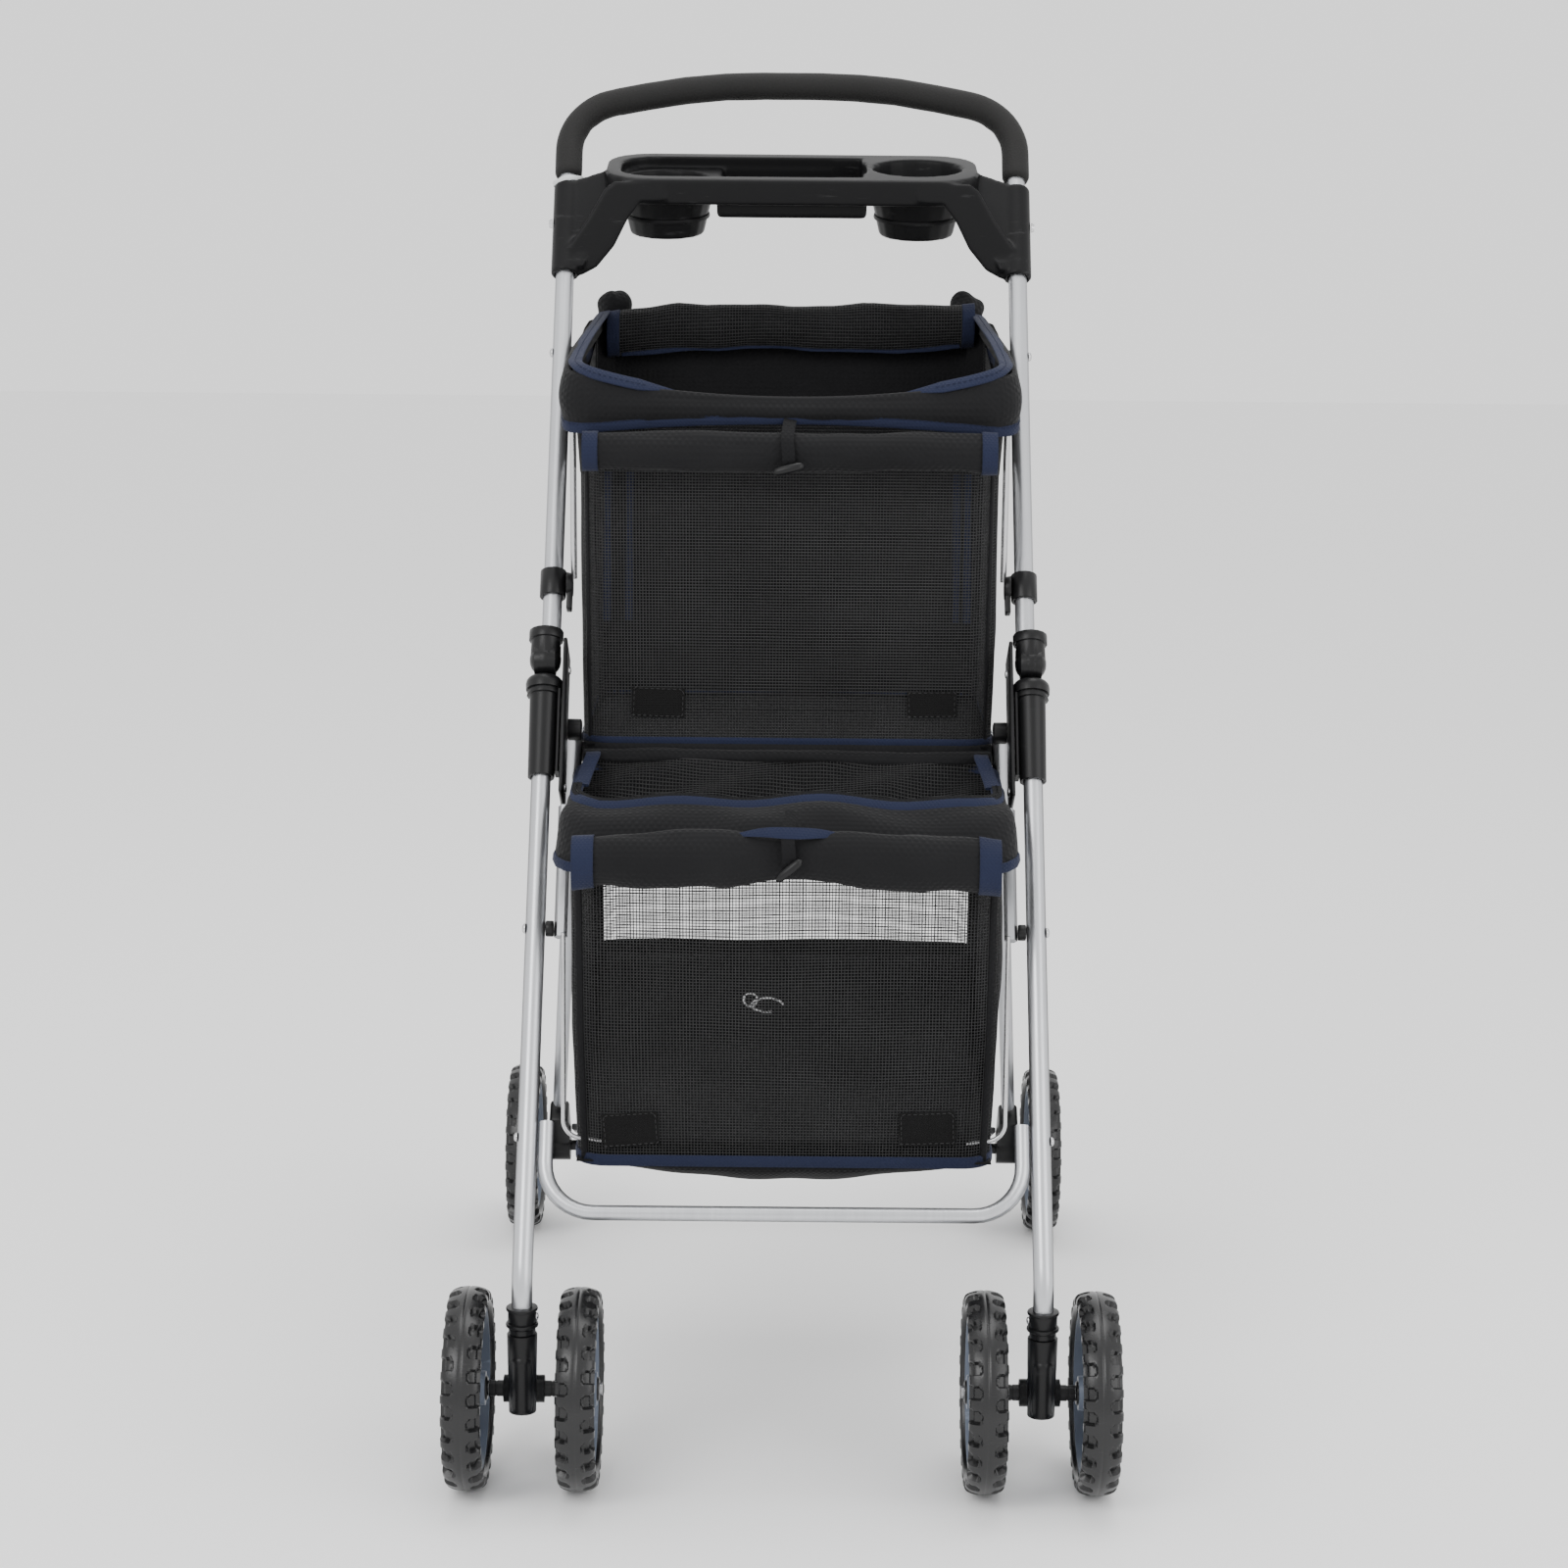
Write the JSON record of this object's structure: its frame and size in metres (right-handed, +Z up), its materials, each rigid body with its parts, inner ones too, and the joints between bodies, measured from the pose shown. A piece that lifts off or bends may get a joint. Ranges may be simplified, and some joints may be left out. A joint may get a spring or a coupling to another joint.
{
  "type": "pet stroller",
  "caption": "Folding two-tier pet stroller with a U handle, cup tray, two open-top net cabins, twin swivel casters and braked rear wheels.",
  "frame": {"origin": "centre of the floor rectangle under the stroller", "axes": "+Z up, -Y the front, where the casters are, +X the right as seen from the front"},
  "size_m": [0.525, 0.794, 1.0757],
  "materials": {
    "silver_tube": "satin",
    "bright_steel": "satin",
    "black_plastic": "moulded",
    "tray_plastic": "moulded, finely grained",
    "grip_foam": "foam",
    "tyre_rubber": "moulded tread",
    "rim_plastic": "moulded",
    "pedal_plastic": "moulded",
    "black_mesh": "open net",
    "black_cloth": "plain weave",
    "navy_tape": "folded binding tape"
  },
  "bodies": {
    "frame": {"front_crossbar": "silver_tube", "upper_cabin": "black_mesh", "lower_cabin": "black_mesh", "upper_rim_wire": "bright_steel", "front_leg_left": "silver_tube", "side_rail_left": "silver_tube", "rail_spacer_left": "black_plastic", "joint_plate_left": "black_plastic", "caster_collar_left": "black_plastic", "front_leg_right": "silver_tube", "side_rail_right": "silver_tube", "rail_spacer_right": "black_plastic", "joint_plate_right": "black_plastic", "caster_collar_right": "black_plastic"},
    "handle": {"handle_frame": "silver_tube", "handle_grip": "grip_foam", "cup_tray": "tray_plastic", "fold_knuckle_left": "black_plastic", "tube_clamp_left": "black_plastic", "tray_bolt_left": "bright_steel", "fold_knuckle_right": "black_plastic", "tube_clamp_right": "black_plastic", "tray_bolt_right": "bright_steel"},
    "rear_frame": {"rear_axle": "bright_steel", "rear_leg_left": "silver_tube", "rear_housing_left": "black_plastic", "rear_leg_right": "silver_tube", "rear_housing_right": "black_plastic"},
    "sleeve_left": {"lock_sleeve_left": "black_plastic"},
    "hook_left": {"latch_hook_left": "black_plastic"},
    "caster_left": {"caster_fork_left": "black_plastic", "caster_axle_left": "bright_steel"},
    "wheel_left_inner": {"tyre_front_left_inner": "tyre_rubber", "rim_front_left_inner": "rim_plastic"},
    "wheel_left_outer": {"tyre_front_left_outer": "tyre_rubber", "rim_front_left_outer": "rim_plastic"},
    "wheel_rear_left": {"tyre_rear_left": "tyre_rubber", "rim_rear_left": "rim_plastic"},
    "brake_left": {"brake_pedal_left": "pedal_plastic"},
    "sleeve_right": {"lock_sleeve_right": "black_plastic"},
    "hook_right": {"latch_hook_right": "black_plastic"},
    "caster_right": {"caster_fork_right": "black_plastic", "caster_axle_right": "bright_steel"},
    "wheel_right_inner": {"tyre_front_right_inner": "tyre_rubber", "rim_front_right_inner": "rim_plastic"},
    "wheel_right_outer": {"tyre_front_right_outer": "tyre_rubber", "rim_front_right_outer": "rim_plastic"},
    "wheel_rear_right": {"tyre_rear_right": "tyre_rubber", "rim_rear_right": "rim_plastic"},
    "brake_right": {"brake_pedal_right": "pedal_plastic"}
  },
  "joints": [
    {"name": "handle_fold", "type": "hinge", "parent": "frame", "child": "handle", "pos_m": [0, -0.06524, 0.59985], "axis": [1, 0, 0], "range_deg": [0, 110]},
    {"name": "rear_leg_fold", "type": "hinge", "parent": "frame", "child": "rear_frame", "pos_m": [0, -0.06712, 0.54431], "axis": [1, 0, 0], "range_deg": [-33, 0]},
    {"name": "sleeve_left_slide", "type": "slide", "parent": "frame", "child": "sleeve_left", "axis": [0, -0.5329, -0.8462], "range_m": [0, 0.016], "stiffness_N_per_m": 60, "springref_m": -0.02},
    {"name": "hook_left_turn", "type": "hinge", "parent": "handle", "child": "hook_left", "pos_m": [-0.1813, -0.02874, 0.65781], "axis": [1, 0, 0], "range_deg": [-60, 60]},
    {"name": "caster_left_swivel", "type": "hinge", "parent": "frame", "child": "caster_left", "pos_m": [-0.1965, -0.338, 0.1276], "axis": [0, 0, 1], "continuous": true},
    {"name": "wheel_left_inner_spin", "type": "hinge", "parent": "caster_left", "child": "wheel_left_inner", "pos_m": [-0.154, -0.32, 0.077], "axis": [1, 0, 0], "continuous": true},
    {"name": "wheel_left_outer_spin", "type": "hinge", "parent": "caster_left", "child": "wheel_left_outer", "pos_m": [-0.239, -0.32, 0.077], "axis": [1, 0, 0], "continuous": true},
    {"name": "wheel_rear_left_spin", "type": "hinge", "parent": "rear_frame", "child": "wheel_rear_left", "pos_m": [-0.2445, 0.32, 0.077], "axis": [1, 0, 0], "continuous": true},
    {"name": "brake_left_press", "type": "hinge", "parent": "rear_frame", "child": "brake_left", "pos_m": [-0.1926, 0.332, 0.09], "axis": [1, 0, 0], "range_deg": [-14, 0]},
    {"name": "sleeve_right_slide", "type": "slide", "parent": "frame", "child": "sleeve_right", "axis": [0, -0.5329, -0.8462], "range_m": [0, 0.016], "stiffness_N_per_m": 60, "springref_m": -0.02},
    {"name": "hook_right_turn", "type": "hinge", "parent": "handle", "child": "hook_right", "pos_m": [0.1813, -0.02874, 0.65781], "axis": [1, 0, 0], "range_deg": [-60, 60]},
    {"name": "caster_right_swivel", "type": "hinge", "parent": "frame", "child": "caster_right", "pos_m": [0.1965, -0.338, 0.1276], "axis": [0, 0, 1], "continuous": true},
    {"name": "wheel_right_inner_spin", "type": "hinge", "parent": "caster_right", "child": "wheel_right_inner", "pos_m": [0.154, -0.32, 0.077], "axis": [1, 0, 0], "continuous": true},
    {"name": "wheel_right_outer_spin", "type": "hinge", "parent": "caster_right", "child": "wheel_right_outer", "pos_m": [0.239, -0.32, 0.077], "axis": [1, 0, 0], "continuous": true},
    {"name": "wheel_rear_right_spin", "type": "hinge", "parent": "rear_frame", "child": "wheel_rear_right", "pos_m": [0.2445, 0.32, 0.077], "axis": [1, 0, 0], "continuous": true},
    {"name": "brake_right_press", "type": "hinge", "parent": "rear_frame", "child": "brake_right", "pos_m": [0.1926, 0.332, 0.09], "axis": [1, 0, 0], "range_deg": [-14, 0]}
  ],
  "couplings": [
    {"joint": "rear_leg_fold", "follows": "handle_fold", "ratio": -0.3}
  ]
}
